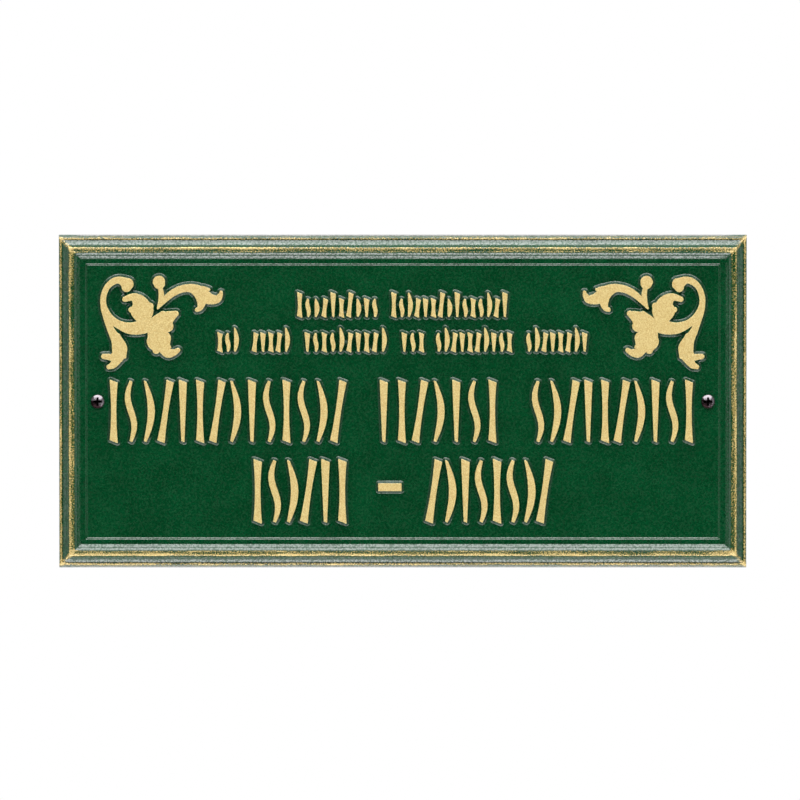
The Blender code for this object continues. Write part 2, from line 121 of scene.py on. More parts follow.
def moulding():
    """Rows of (inset, height, gold) down the moulding.

    The bead is a half ellipse on a sloping base, and the cove is an arc. The
    roll is a quarter ellipse that rises and half a cosine wave that falls. The
    hollow is a shallow sine arch on a slope. The ogee falls steeply, eases to
    flat over its last fifth, and has one fine crease, a bell curve. Each step
    down is half a cosine wave.
    """
    crest = SIDE_WALL_HEIGHT + BEAD_RISE
    quirk = crest - QUIRK_DROP
    shoulder = quirk + COVE_RISE
    top = shoulder + ROLL_RISE
    band = top - OGEE_DROP
    rows = [np.array([[0.0, SIDE_WALL_HEIGHT, 0.30]])]

    def add(inset, height, gold):
        rows.append(np.stack(np.broadcast_arrays(inset, height, gold), axis=1))

    t = turns(12)
    lift = crest - 0.5 * (SIDE_WALL_HEIGHT + quirk)
    height = SIDE_WALL_HEIGHT + (quirk - SIDE_WALL_HEIGHT) * t + lift * np.sin(np.pi * t)
    add(0.5 * BEAD_WIDTH * (1 - np.cos(np.pi * t)), height, BEAD_GOLD * np.exp(-(((t - 0.58) / 0.32) ** 2)))

    tilt = COVE_START + (COVE_END - COVE_START) * turns(14)
    across = (np.sin(tilt) - math.sin(COVE_START)) / (math.sin(COVE_END) - math.sin(COVE_START))
    rise = (math.cos(COVE_START) - np.cos(tilt)) / (math.cos(COVE_START) - math.cos(COVE_END))
    add(BEAD_WIDTH + COVE_WIDTH * across, quirk + COVE_RISE * rise, 0.12 * rise**6)

    ridge = BEAD_WIDTH + COVE_WIDTH
    turn = 0.5 * np.pi * turns(7)
    rise = np.sin(turn)
    half_roll = 0.5 * ROLL_WIDTH
    gold = ROLL_FOOT_GOLD + (ROLL_GOLD - ROLL_FOOT_GOLD) * rise**2
    add(ridge + half_roll * (1 - np.cos(turn)), shoulder + ROLL_RISE * rise, gold)
    t = turns(5)
    fall = 0.5 * ROLL_FALL * (1 - np.cos(np.pi * t))
    add(ridge + half_roll * (1 + t), top - fall, ROLL_GOLD + (ROLL_END_GOLD - ROLL_GOLD) * t)

    hollow = ridge + ROLL_WIDTH
    t = turns(6)
    arch = np.sin(np.pi * t)
    gold = HOLLOW_GOLD + (FILLET_GOLD - HOLLOW_GOLD) * t - 0.06 * arch
    add(hollow + HOLLOW_WIDTH * t, top - ROLL_FALL - HOLLOW_ARCH * arch + HOLLOW_SLOPE * t, gold)
    fillet = hollow + HOLLOW_WIDTH
    t = turns(3)
    fall = (ROLL_FALL - HOLLOW_SLOPE) * (1 - t)
    add(fillet + FILLET_WIDTH * t, top - fall, FILLET_GOLD + (FILLET_END_GOLD - FILLET_GOLD) * t**2)

    ogee = fillet + FILLET_WIDTH
    t = turns(24)
    ease = np.clip((t - 1 + OGEE_EASE) / OGEE_EASE, 0, 1)
    steep = (1.15 - 0.30 * t) * (1 - ease * ease * (3 - 2 * ease))
    fall = np.cumsum(steep) / steep.sum()
    crease = CREASE_DEPTH * np.exp(-(((t - CREASE_PLACE) / 0.035) ** 2))
    add(ogee + OGEE_WIDTH * t, top - OGEE_DROP * fall - crease, 0.20 * np.exp(-t / 0.04))

    edge = ogee + OGEE_WIDTH
    add(edge + BAND_WIDTH * turns(3), band, 0.0)
    first = edge + BAND_WIDTH
    for start, drop in ((0.0, 0.0), (1 - STEP_RUN, 0.5)):
        t = turns(5)
        fall = STEP_DROP * (drop + 0.25 * (1 - np.cos(np.pi * t)))
        add(first + STEP_WIDTH * (start + STEP_RUN * t), band - fall, 0.0)
    return np.vstack(rows)


profile = moulding()
FIELD_INSET, FIELD_HEIGHT = float(profile[-1, 0]), float(profile[-1, 1])
FIELD_HALF_WIDTH = PLAQUE_WIDTH / 2 - END_DRAFT - FIELD_INSET
FIELD_HALF_HEIGHT = PLAQUE_HEIGHT / 2 - LONG_DRAFT - FIELD_INSET
print(len(profile), "rows in the moulding, field at", round(FIELD_HEIGHT * 1000, 2), "mm")

# %% The path round the plaque
CORNER_ROUND = 0.0005
LONG_STATIONS = 80
SHORT_STATIONS = 40
CORNER_STATIONS = 4


def side_shares(count):
    """Shares along one side, closer together near both mitres."""
    t = np.linspace(-1, 1, count)
    return 0.75 * t + 0.25 * np.sin(0.5 * np.pi * t)


def rectangle_path(half_width, half_height):
    """A rectangle with rounded corners, walked once round from the lower left, as (x, z) points.

    Round a corner the point turns through a quarter circle about the corner's
    own centre.
    """
    half_width = np.asarray(half_width)[:, None] - CORNER_ROUND
    half_height = np.asarray(half_height)[:, None] - CORNER_ROUND
    across = side_shares(LONG_STATIONS)
    up = side_shares(SHORT_STATIONS)
    quarter = 0.5 * np.pi * np.arange(1, CORNER_STATIONS) / CORNER_STATIONS
    sides = [(across, -1, 0.0), (1, up, 0.25), (-across, 1, 0.5), (-1, -up, 0.75)]
    corners = [(1, -1), (1, 1), (-1, 1), (-1, -1)]
    x, z = [], []
    for (share_x, share_z, turn), (corner_x, corner_z) in zip(sides, corners):
        out = 2 * np.pi * turn - 0.5 * np.pi
        x.append(half_width * share_x + CORNER_ROUND * math.cos(out) + 0 * half_height * share_z)
        z.append(half_height * share_z + CORNER_ROUND * math.sin(out) + 0 * half_width * share_x)
        x.append(half_width * corner_x + CORNER_ROUND * np.cos(out + quarter))
        z.append(half_height * corner_z + CORNER_ROUND * np.sin(out + quarter))
    return np.hstack(x), np.hstack(z)


# %% [markdown]
# A hand-finished pattern is never dead straight. A few long, low waves move
# each row of the moulding in and out by some hundredths of a millimetre, and
# the long highlights waver as on the real rails.

# %% The border's surface
WAVER = 0.00004
WAVES_ROUND = (17, 29, 43, 61, 83)
FOOT_BEVEL = 0.0002
# Rows of the side wall: share of its draft, height and gold
SIDE_WALL = np.array([[0.0, 0.0, 0.0], [0.0, 0.0003, 0.0], [0.3, 0.0018, 0.05], [0.7, 0.0034, 0.22]])


def border_rows():
    """Vertices (x, y, z) and gold for the grid of profile rows and path stations.

    Each vertex is the path at that row's inset, at that row's height, plus a
    sum of five sine waves along the path that fades at the wall and the field.
    """
    half_w = PLAQUE_WIDTH / 2 - END_DRAFT * SIDE_WALL[:, 0]
    half_h = PLAQUE_HEIGHT / 2 - LONG_DRAFT * SIDE_WALL[:, 0]
    half_w[0] -= FOOT_BEVEL
    half_h[0] -= FOOT_BEVEL
    inset = profile[:, 0]
    half_w = np.concatenate([half_w, PLAQUE_WIDTH / 2 - END_DRAFT - inset])
    half_h = np.concatenate([half_h, PLAQUE_HEIGHT / 2 - LONG_DRAFT - inset])
    height = np.concatenate([SIDE_WALL[:, 1], profile[:, 1]])
    gold = np.concatenate([SIDE_WALL[:, 2], profile[:, 2]])
    x, z = rectangle_path(half_w, half_h)
    rng = np.random.default_rng(4)
    stretch = np.concatenate([np.zeros(len(SIDE_WALL)), inset / FIELD_INSET])[:, None]
    walk = np.linspace(0, 1, x.shape[1], endpoint=False)[None]
    waver = np.zeros_like(x)
    for waves in WAVES_ROUND:
        waver += np.sin(2 * np.pi * (waves * walk + rng.random() + 2 * rng.random() * stretch))
    waver *= WAVER * 0.5 * np.sin(np.pi * np.clip(stretch * 1.02 + 0.02, 0, 1)) ** 0.5
    waver[-1] = 0
    y = -(height[:, None] + waver)
    points = np.stack([x, y, z], axis=-1)
    return points.reshape(-1, 3), np.repeat(gold, x.shape[1]), x.shape


border_points, border_gold, border_shape = border_rows()
print("border grid:", border_shape)

# %% [markdown]
# ## The relief on the field
#
# The scrolls and the strokes are one height, with flat tops, steep walls and a
# hollow fillet at the foot. Each was a flat shape laid on the pattern board,
# so here each is a flat outline, with a short profile of (how far out, how
# high) carried round it as its wall. Two walls that meet in a narrow notch run
# together on the way down, so each outline also takes in the one above it.

# %% The scroll's limbs
SCROLL_END_INSET = 0.0253
SCROLL_TOP_INSET = 0.0249
SCROLL_STEPS = 9
TIP_FACETS = 12
# Each limb runs through stations of (across, down, half width) in millimetres
SCROLL_LIMBS = {
    "curled_stem": [
        (16.1, 4.6, 3.7), (11.6, 2.3, 2.1), (7.6, 3.2, 1.9), (4.0, 6.5, 1.7), (1.9, 11.8, 1.7),
        (1.8, 16.9, 1.8), (3.0, 21.6, 2.2), (6.1, 31.6, 2.1), (9.8, 38.5, 3.3), (11.3, 44.6, 4.3),
    ],
    "curl_end": [(16.3, 4.9, 3.5), (15.6, 6.4, 2.9)],
    "foot_lobe": [
        (9.6, 36.4, 2.6), (11.6, 42.8, 4.3), (11.8, 46.6, 3.4), (9.8, 50.1, 2.7), (7.4, 53.1, 2.1),
        (4.9, 54.3, 1.3),
    ],
    "foot_curl": [(11.6, 45.4, 3.6), (7.2, 48.4, 2.1), (4.4, 48.2, 1.7), (1.9, 48.0, 1.5)],
    "foot_heel": [(12.0, 43.6, 3.9), (13.6, 46.6, 2.4), (14.4, 48.2, 1.1)],
    "stalk": [
        (2.4, 19.8, 1.9), (5.8, 25.1, 2.2), (10.8, 28.8, 2.4), (17.6, 31.1, 3.4), (25.0, 30.4, 4.0),
        (30.6, 28.6, 3.4),
    ],
    "upper_petal": [
        (28.4, 29.8, 2.8), (26.1, 25.6, 4.2), (24.2, 20.9, 6.0), (23.9, 17.4, 5.7), (22.2, 14.2, 3.9),
        (19.0, 12.5, 2.2), (14.6, 13.7, 1.5),
    ],
    "upper_petal_shoulder": [(25.4, 20.0, 4.8), (28.2, 20.0, 3.5), (28.2, 22.6, 3.1), (27.4, 25.4, 2.7)],
    "upper_petal_lobe": [(26.6, 18.8, 3.4), (29.7, 17.9, 2.1)],
    "upper_petal_bump": [(24.4, 20.8, 4.4), (18.4, 20.0, 1.6)],
    "side_petal": [
        (29.6, 30.6, 3.0), (34.3, 28.0, 4.7), (38.3, 26.5, 5.5), (41.6, 24.2, 3.6), (45.2, 22.3, 1.7),
    ],
    "side_petal_peak": [(35.4, 27.0, 3.8), (37.4, 23.0, 2.2)],
    "side_petal_lobe": [(36.0, 28.2, 4.4), (40.4, 29.9, 3.3)],
    "lower_petal": [
        (31.2, 29.8, 3.0), (33.1, 35.0, 5.1), (34.4, 38.7, 6.5), (38.0, 42.4, 4.1), (40.6, 45.7, 3.1),
        (44.0, 45.6, 1.9), (46.5, 44.2, 1.3),
    ],
    "lower_petal_side": [(34.4, 37.0, 6.0), (38.6, 36.7, 3.6), (39.2, 39.6, 2.6)],
    "lower_petal_heel": [(33.0, 40.4, 4.9), (33.4, 44.3, 2.1)],
    "bud": [(35.1, 3.4, 3.7), (35.3, 4.2, 3.4)],
    "bud_stalk": [(35.8, 6.6, 1.3), (36.5, 10.8, 1.6), (35.8, 15.4, 1.2), (34.3, 19.0, 0.5)],
    "spray": [
        (34.4, 19.2, 0.5), (37.8, 14.9, 1.5), (42.2, 10.8, 2.0), (47.6, 7.9, 2.1), (53.4, 7.0, 2.4),
        (58.0, 8.6, 3.5), (61.4, 11.4, 4.2), (66.0, 13.6, 3.1), (70.0, 13.6, 2.3), (71.8, 11.4, 1.5),
        (72.3, 9.6, 1.0),
    ],
    "spray_point": [(58.8, 8.6, 2.7), (62.4, 8.2, 2.2), (65.0, 7.8, 0.8)],
    "spray_lobe": [(60.6, 11.6, 3.6), (60.5, 16.4, 2.4), (59.4, 19.2, 1.6), (57.8, 20.0, 1.2)],
}


def smooth_path(stations, steps):
    """Points of a Catmull-Rom curve: between two stations, a cubic that also heeds the next ones."""
    p = np.array(stations)
    p = np.vstack([2 * p[0] - p[1], p, 2 * p[-1] - p[-2]])
    a, b, c, d = (p[i:len(p) - 3 + i, None] for i in range(4))
    t = np.linspace(0, 1, steps, endpoint=False)[None, :, None]
    cubic = -a + 3 * b - 3 * c + d
    square = 2 * a - 5 * b + 4 * c - d
    spans = 0.5 * (2 * b + (c - a) * t + square * t**2 + cubic * t**3)
    return np.vstack([spans.reshape(-1, p.shape[1]), p[-2:-1]])


def limb_outline(stations):
    """A limb's outline: its path moved out to both sides by half its width, with round ends."""
    path = smooth_path(stations, SCROLL_STEPS)
    along = np.gradient(path[:, :2], axis=0)
    along /= np.linalg.norm(along, axis=1)[:, None]
    across = np.stack([-along[:, 1], along[:, 0]], axis=1)
    reach = path[:, 2:]
    left = path[:, :2] + across * reach
    right = path[:, :2] - across * reach
    cap = np.linspace(0, math.pi, TIP_FACETS + 1)[1:-1, None]
    last = path[-1, :2] + reach[-1] * (np.cos(cap) * across[-1] + np.sin(cap) * along[-1])
    first = path[0, :2] - reach[0] * (np.cos(cap) * across[0] + np.sin(cap) * along[0])
    return np.vstack([left, last, right[::-1], first])


def scroll_outlines(side):
    """The limbs of one scroll: side is -1 for the left one and 1 for its mirror image."""
    corner = np.array([PLAQUE_WIDTH / 2 - SCROLL_END_INSET, PLAQUE_HEIGHT / 2 - SCROLL_TOP_INSET])
    outlines = []
    for limb in SCROLL_LIMBS.values():
        away = limb_outline(np.array(limb) * 0.001)
        outlines.append((corner - away) * [side, 1])
    return outlines


# %% [markdown]
# The rows of pen strokes stand in the place of an inscription. They are the
# strokes a broad pen makes, one beside another, and they spell nothing.

# %% The pen strokes
PLAIN_STROKE = dict(lean=0.0, bulge=0.0, wave=0.0, flare=0.0, taper=0.0)
PEN_STROKES = {
    "stem": PLAIN_STROKE | dict(waist=0.86, flare=0.46),
    "lean": PLAIN_STROKE | dict(waist=0.90, flare=0.30, lean=0.15),
    "bow": PLAIN_STROKE | dict(waist=1.15, flare=-0.72, bulge=0.10),
    "wave": PLAIN_STROKE | dict(waist=1.08, flare=-0.62, wave=0.055),
    "wedge": PLAIN_STROKE | dict(waist=0.92, taper=0.80),
}
PEN_ORDER = ("stem", "wave", "bow", "lean", "wedge", "stem", "lean", "bow", "wedge", "wave")
PEN_CUT = 0.35
PEN_STEPS = 10
PEN_CORNER = 0.00025
INSCRIPTION = [
    dict(
        tall=0.0142, pen=0.0024, pitch=0.0049, swing=0.7,
        shares=(1.0, 0.75, 0.75, 0.75, 1.0, 0.75),
        words=[(-0.340, -0.075), (-0.041, 0.336)],
    ),
    dict(
        tall=0.0140, pen=0.0024, pitch=0.0049, swing=0.7,
        shares=(0.78, 0.78, 1.0, 0.78, 0.78),
        words=[
            (-0.592, -0.517), (-0.481, -0.355), (-0.316, -0.047), (-0.009, 0.073), (0.101, 0.351),
            (0.387, 0.589),
        ],
    ),
    dict(
        tall=0.0362, pen=0.0036, pitch=0.0102, swing=1.0, shares=(1.0,),
        words=[(-0.944, -0.177), (-0.089, 0.313), (0.402, 0.934)],
    ),
    dict(
        tall=0.0369, pen=0.0038, pitch=0.0100, swing=1.0, shares=(1.0,),
        words=[(-0.487, -0.165), (0.073, 0.475)],
    ),
]
ROW_GAPS = (0.266, 0.110, 0.289, 0.185, 0.150)
DASH_PLACE = (-0.041, 0.566)
DASH_LENGTH = 0.0139
DASH_THICKNESS = 0.0045


def row_feet():
    """Height of each row's foot line: the rows keep their own heights and share out the rest."""
    tall = np.array([row["tall"] for row in INSCRIPTION])
    free = 2 * FIELD_HALF_HEIGHT - tall.sum()
    gaps = np.array(ROW_GAPS[:len(tall)]) / sum(ROW_GAPS) * free
    return FIELD_HALF_HEIGHT - np.cumsum(gaps + tall)


def stroke_outline(form, row, centre_x, foot, tall):
    """One pen stroke, a little inside its true edge so that its corners can be rounded.

    Up its height, t = 0 to 1, the middle drifts sideways by lean*(t-1/2) +
    bulge*(sin(pi t)-1/2) + wave*sin(2 pi t) heights, and the stroke is waist +
    flare*(2t-1)^2 + taper*(t-1/2) pen widths across.
    """
    t = np.linspace(0, 1, PEN_STEPS + 1)
    drift = form["lean"] * (t - 0.5) + form["bulge"] * (np.sin(math.pi * t) - 0.5)
    drift = drift + form["wave"] * np.sin(2 * math.pi * t)
    half = 0.5 * row["pen"] * (form["waist"] + form["flare"] * (2 * t - 1) ** 2 + form["taper"] * (t - 0.5))
    x = centre_x + row["swing"] * tall * drift
    z = foot + tall * t - PEN_CORNER * (2 * t - 1)
    slant = PEN_CUT * half * np.abs(2 * t - 1)
    left = np.stack([x - half + PEN_CORNER, z + slant], axis=1)
    right = np.stack([x + half - PEN_CORNER, z - slant], axis=1)
    return np.vstack([right, left[::-1]])


def spread_outline(outline, spread):
    """An outline moved out by a distance, with an arc of that radius round each sharp corner.

    A sharp corner gets points at four turns between its sides' normals, and a
    gentle one a point at half turn. At a hollow corner the arc makes a small
    loop, which joining removes.
    """
    side = np.roll(outline, -1, axis=0) - outline
    side /= np.linalg.norm(side, axis=1)[:, None]
    after = np.stack([side[:, 1], -side[:, 0]], axis=1)
    before = np.roll(after, 1, axis=0)
    cross = before[:, 0] * after[:, 1] - before[:, 1] * after[:, 0]
    bend = np.arctan2(cross, (before * after).sum(axis=1))
    share = np.array([0.0, 0.34, 0.5, 0.66, 1.0])
    heading = np.arctan2(before[:, 1], before[:, 0])[:, None] + bend[:, None] * share
    moved = outline[:, None] + spread * np.stack([np.cos(heading), np.sin(heading)], axis=-1)
    sharp = np.abs(bend[:, None]) > 0.6
    kept = np.where(sharp, share != 0.5, share == 0.5)
    return moved[kept]


def inscription_outlines():
    """Every pen stroke of the rows, and the dash."""
    feet = row_feet()
    dash_x = DASH_PLACE[0] * FIELD_HALF_WIDTH
    dash_z = feet[-1] + DASH_PLACE[1] * INSCRIPTION[-1]["tall"]
    half = np.array([DASH_LENGTH, DASH_THICKNESS]) / 2 - PEN_CORNER
    corners = np.array([[-1, -1], [1, -1], [1, 1], [-1, 1]])
    outlines = [corners * half + [dash_x, dash_z]]
    for row, foot in zip(INSCRIPTION, feet):
        kinds = itertools.cycle(PEN_ORDER)
        shares = itertools.cycle(row["shares"])
        for start, end in row["words"]:
            width = (end - start) * FIELD_HALF_WIDTH
            count = max(1, round(width / row["pitch"]))
            for i in range(count):
                centre_x = start * FIELD_HALF_WIDTH + (i + 0.5) * width / count
                form = PEN_STROKES[next(kinds)]
                outlines.append(stroke_outline(form, row, centre_x, foot, row["tall"] * next(shares)))
    return [spread_outline(outline, PEN_CORNER) for outline in outlines]


# %% [markdown]
# Where limbs overlap, or the feet of two strokes meet, the pattern maker's
# wax runs them into one. Blender's Delaunay triangulation does the same in the
# flat: it keeps every outline's edges, each triangle is inside or outside the
# shapes, and the border between the two is the joined outline.

# %% Join overlapping outlines
MERGE_DISTANCE = 0.00003


def winding(outline, points):
    """How many times an outline turns round each point: the sum of the angles its sides span."""
    start = outline[None] - points[:, None]
    end = np.roll(outline, -1, axis=0)[None] - points[:, None]
    cross = start[..., 0] * end[..., 1] - start[..., 1] * end[..., 0]
    turn = np.arctan2(cross, (start * end).sum(axis=2))
    return np.rint(turn.sum(axis=1) / (2 * math.pi))


def total_winding(outlines, points, each_counts_once=False):
    """The outlines' windings round each point, added up, tested only near each outline."""
    total = np.zeros(len(points))
    for outline in outlines:
        near = np.all((points > outline.min(axis=0)) & (points < outline.max(axis=0)), axis=1)
        count = winding(outline, points[near])
        total[near] += np.abs(count) if each_counts_once else count
    return total


def flat_triangles(outlines):
    """Delaunay triangles that keep every outline's edges: points, triangles, each point's sources."""
    points = np.vstack(outlines)
    edges, first = [], 0
    for outline in outlines:
        i = first + np.arange(len(outline))
        edges.append(np.stack([i, np.roll(i, -1)], axis=1))
        first += len(outline)
    edges = np.vstack(edges).tolist()
    vectors = [Vector(p) for p in points.tolist()]
    found, _, faces, sources, *_ = delaunay_2d_cdt(vectors, edges, [], 0, MERGE_DISTANCE)
    return np.array([p[:] for p in found]), np.array(faces), sources


def joined_outlines(outlines, each_counts_once=False):
    """The outlines left when shapes run together, solids anticlockwise and gaps clockwise."""
    points, faces, _ = flat_triangles(outlines)
    faces = faces[total_winding(outlines, points[faces].mean(axis=1), each_counts_once) > 0]
    sides = np.vstack([faces[:, [0, 1]], faces[:, [1, 2]], faces[:, [2, 0]]])
    code = sides[:, 0] * len(points) + sides[:, 1]
    back = sides[:, 1] * len(points) + sides[:, 0]
    ways = {}
    for a, b in sides[~np.isin(code, back)].tolist():
        ways.setdefault(a, []).append(b)
    loops = []
    while ways:
        step = min(ways)
        loop = []
        while step in ways:
            loop.append(step)
            following = ways[step].pop()
            if not ways[step]:
                del ways[step]
            step = following
        loops.append(points[loop])
    return [loop for loop in loops if len(loop) > 2]


# %% The relief's wall, from its flat top out to the field
EDGE_ROUND = 0.00025
FOOT_ROUND = 0.0009
WALL_TILT = math.radians(58)
EDGE_START = -0.00012


def wall_steps():
    """Rows of (spread, height over the field, gold) down the wall.

    The top edge is an arc that turns from flat to the wall's tilt, the wall is
    straight, and the foot is a hollow arc that turns back to flat. Below zero the
    third value is no gold but painted shade, darkest on the wall and fading out
    across the foot.
    """
    turn = WALL_TILT * np.array([0.0, 0.5, 1.0])
    spread = EDGE_START + EDGE_ROUND * np.sin(turn)
    height = RELIEF_HEIGHT - EDGE_ROUND * (1 - np.cos(turn))
    edge = np.stack([spread, height, [1.9, 1.4, -0.5]], axis=1)
    turn = WALL_TILT * np.array([1.0, 0.78, 0.56, 0.36, 0.17, 0.0])
    straight = height[-1] - FOOT_ROUND * (1 - math.cos(WALL_TILT))
    foot_end = spread[-1] + straight / math.tan(WALL_TILT) + FOOT_ROUND * math.sin(WALL_TILT)
    painted_shade = -0.5 * turn / WALL_TILT
    foot = np.stack([foot_end - FOOT_ROUND * np.sin(turn), FOOT_ROUND * (1 - np.cos(turn)), painted_shade], axis=1)
    return np.vstack([edge, foot])


shapes = scroll_outlines(-1) + scroll_outlines(1) + inscription_outlines()
true_edges = joined_outlines(shapes, each_counts_once=True)
print(len(shapes), "shapes make", len(true_edges), "outlines")
relief_loops = []
loops = []
# The third value of each row is gold, or below zero painted shade.
for spread, height, gold in wall_steps():
    loops = joined_outlines([spread_outline(edge, spread) for edge in true_edges] + loops)
    relief_loops += [(loop, FIELD_HEIGHT + height, gold) for loop in loops]
    print(f"spread {spread * 1000:.2f} mm: {len(loops)} outlines, {sum(map(len, loops))} points")

# %% [markdown]
# ## The back
#
# Two shallow pockets with a rib between them keep the weight down, and their
# walls slope so that the pattern drew out of the sand. The back is never seen
# on the wall, so it stays plain.

# %% The pockets and the screw holes
BACK_RIM = 0.012
BACK_RIB = 0.016
POCKET_DEPTH = 0.0030
POCKET_DRAFT = 0.0010
POCKET_CORNER = 0.006
POCKET_FACETS = 10
# Rows of a pocket's wall: how far in, in drafts, and the share of the depth
POCKET_WALL = ((-0.3, 0.0), (-0.1, 0.02), (0.05, 0.12), (0.8, 0.85), (1.1, 0.96), (1.7, 1.0))
SCREW_INSET = 0.0235
SCREW_X = PLAQUE_WIDTH / 2 - SCREW_INSET
SCREW_SHANK_RADIUS = 0.0021
SCREW_HOLE_RADIUS = SCREW_SHANK_RADIUS + 0.0005
HOLE_FACETS = 48


def rounded_rectangle(centre_z, half_width, half_height, radius):
    """Four quarter circles about the corners' centres, joined by straight sides."""
    turn = 0.5 * np.pi * (np.arange(4)[:, None] + np.linspace(0, 1, POCKET_FACETS + 1)[None])
    side_x = np.array([1, -1, -1, 1])[:, None]
    side_z = np.array([1, 1, -1, -1])[:, None]
    x = side_x * (half_width - radius) + radius * np.cos(turn)
    z = centre_z + side_z * (half_height - radius) + radius * np.sin(turn)
    return np.stack([x.ravel(), z.ravel()], axis=1)


def circle(centre_x, radius):
    turn = 2 * np.pi * np.arange(HOLE_FACETS) / HOLE_FACETS
    return np.stack([centre_x + radius * np.cos(turn), radius * np.sin(turn)], axis=1)


pocket_loops = []
half_width = PLAQUE_WIDTH / 2 - BACK_RIM
half_height = (PLAQUE_HEIGHT / 2 - BACK_RIM - BACK_RIB / 2) / 2
for side in (1, -1):
    centre_z = side * (BACK_RIB / 2 + half_height)
    for inward, share in POCKET_WALL:
        draft = inward * POCKET_DRAFT
        outline = rounded_rectangle(centre_z, half_width - draft, half_height - draft, POCKET_CORNER)
        pocket_loops.append((outline, share * POCKET_DEPTH))
hole_circles = [circle(side * SCREW_X, SCREW_HOLE_RADIUS) for side in (-1, 1)]

# %% [markdown]
# ## One closed casting
#
# The border grid ends where the field begins. From there one Delaunay sheet runs
# in through every outline of the relief, each at its own height, and leaves the
# screw holes open. A second sheet closes the back, and short tubes join the
# holes, so the casting is one closed skin.

# %% Helpers that put arrays into a mesh
def grid_faces(rows, columns):
    """Four-sided faces between rows of a grid whose last column meets its first."""
    row = np.arange(rows - 1)[:, None] * columns
    left = np.arange(columns)[None]
    right = (left + 1) % columns
    below = row + columns
    return np.stack([row + left, row + right, below + right, below + left], axis=-1).reshape(-1, 4)


def mesh_object(name, points, faces, sharp_angle):
    """A mesh object at the origin from arrays of points and faces, shaded smooth."""
    mesh = bpy.data.meshes.new(name)
    mesh.from_pydata(points.tolist(), [], faces)
    mesh.validate()
    mesh.shade_smooth()
    mesh.set_sharp_from_angle(angle=sharp_angle)
    obj = bpy.data.objects.new(name, mesh)
    bpy.context.scene.collection.objects.link(obj)
    return obj


def paint_attribute(obj, name, values):
    attribute = obj.data.attributes.new(name, "FLOAT", "POINT")
    attribute.data.foreach_set("value", np.asarray(values, dtype=np.float32))


class Skin:
    """Gathers vertices, their finish and faces for one closed surface."""

    def __init__(self):
        self.points, self.gold, self.faces = [], [], []
        self.count = 0

    def add(self, points, gold):
        first = self.count
        self.points.append(points)
        self.gold.append(np.broadcast_to(gold, len(points)).astype(float))
        self.count += len(points)
        return first + np.arange(len(points))

    def add_loop(self, outline, height, gold):
        return self.add(np.insert(outline, 1, -height, axis=1), gold)

    def sheet(self, loops, holes, facing):
        """Triangles from the first loop inwards through the others, open at the holes."""
        rings = loops + holes
        numbers = np.concatenate(rings)
        everything = np.vstack(self.points)
        outlines = [everything[ring][:, [0, 2]] for ring in rings]
        points, faces, sources = flat_triangles(outlines)
        known = np.array([source[0] if source else -1 for source in sources])
        old = known >= 0
        corner = np.where(old, numbers[known], -1)
        for i in np.flatnonzero(~old):
            nearest = np.argmin(((points[old] - points[i]) ** 2).sum(axis=1))
            height = -everything[numbers[known[old][nearest]], 1]
            corner[i] = self.add_loop(points[i][None], height, 0.0)[0]
        cut = total_winding(outlines[len(loops):], points[faces].mean(axis=1)) > 0
        kept = corner[faces[~cut]]
        self.faces += (kept if facing > 0 else kept[:, ::-1]).tolist()


# %% Build the casting
casting_skin = Skin()
border_numbers = casting_skin.add(border_points, border_gold).reshape(border_shape)
casting_skin.faces += grid_faces(*border_shape).tolist()
relief_rings = [casting_skin.add_loop(*loop) for loop in relief_loops]
pocket_rings = [casting_skin.add_loop(outline, height, 0.0) for outline, height in pocket_loops]
front_holes = [casting_skin.add_loop(outline, FIELD_HEIGHT, 0.0) for outline in hole_circles]
back_holes = [casting_skin.add_loop(outline, 0.0, 0.0) for outline in hole_circles]
casting_skin.sheet([border_numbers[-1]] + relief_rings, front_holes, 1)
casting_skin.sheet([border_numbers[0]] + pocket_rings, back_holes, -1)
for front, back in zip(front_holes, back_holes):
    tube = np.concatenate([front, back])
    casting_skin.faces += tube[grid_faces(2, HOLE_FACETS)].tolist()

SHARP_CASTING = math.radians(38)
BARE_HEIGHT = 0.0012
casting_points = np.vstack(casting_skin.points)
casting = mesh_object("painted_casting", casting_points, casting_skin.faces, SHARP_CASTING)
paint_attribute(casting, "gold", np.concatenate(casting_skin.gold))
near_wall = np.clip(1 + casting_points[:, 1] / BARE_HEIGHT, 0, 1)
in_pocket = (np.abs(casting_points[:, 0]) < half_width) & (casting_points[:, 1] > -POCKET_DEPTH - 0.0002)
paint_attribute(casting, "bare_metal", np.maximum(near_wall, in_pocket))

# %% [markdown]
# A smooth-shaded surface blends the light across every edge. At the foot of the
# relief that would bend it over the whole field, so each edge between a flat
# face and a sloping one is marked sharp.

# %% Keep the flat faces flat
def mark_flat_faces(mesh):
    normals = np.empty(len(mesh.polygons) * 3)
    mesh.polygons.foreach_get("normal", normals)
    level = np.abs(normals.reshape(-1, 3)[:, 1]) > 0.99999
    sizes = np.empty(len(mesh.polygons), dtype=int)
    mesh.polygons.foreach_get("loop_total", sizes)
    corner_edges = np.empty(len(mesh.loops), dtype=int)
    mesh.loops.foreach_get("edge_index", corner_edges)
    corner_level = np.repeat(level, sizes)
    has_level = np.zeros(len(mesh.edges), dtype=bool)
    has_slope = np.zeros(len(mesh.edges), dtype=bool)
    has_level[corner_edges[corner_level]] = True
    has_slope[corner_edges[~corner_level]] = True
    sharp = np.empty(len(mesh.edges), dtype=bool)
    mesh.edges.foreach_get("use_edge_sharp", sharp)
    mesh.edges.foreach_set("use_edge_sharp", sharp | (has_level & has_slope))
    mesh.update()


mark_flat_faces(casting.data)
open_edges = len(casting.data.edges) * 2 - len(casting.data.loops)
triangles = sum(len(face) - 2 for face in casting_skin.faces)
print("casting:", triangles, "triangles, open edge balance", open_edges)

# %% [markdown]
# ## The screws
#
# Each screw is a No. 8 pan head with a cross recess, blackened steel. The head
# is a square grid that turns round towards its rim: its lines run straight
# across the recess, so the cross keeps crisp edges, and its last ring is the
# circle that the wall starts from.

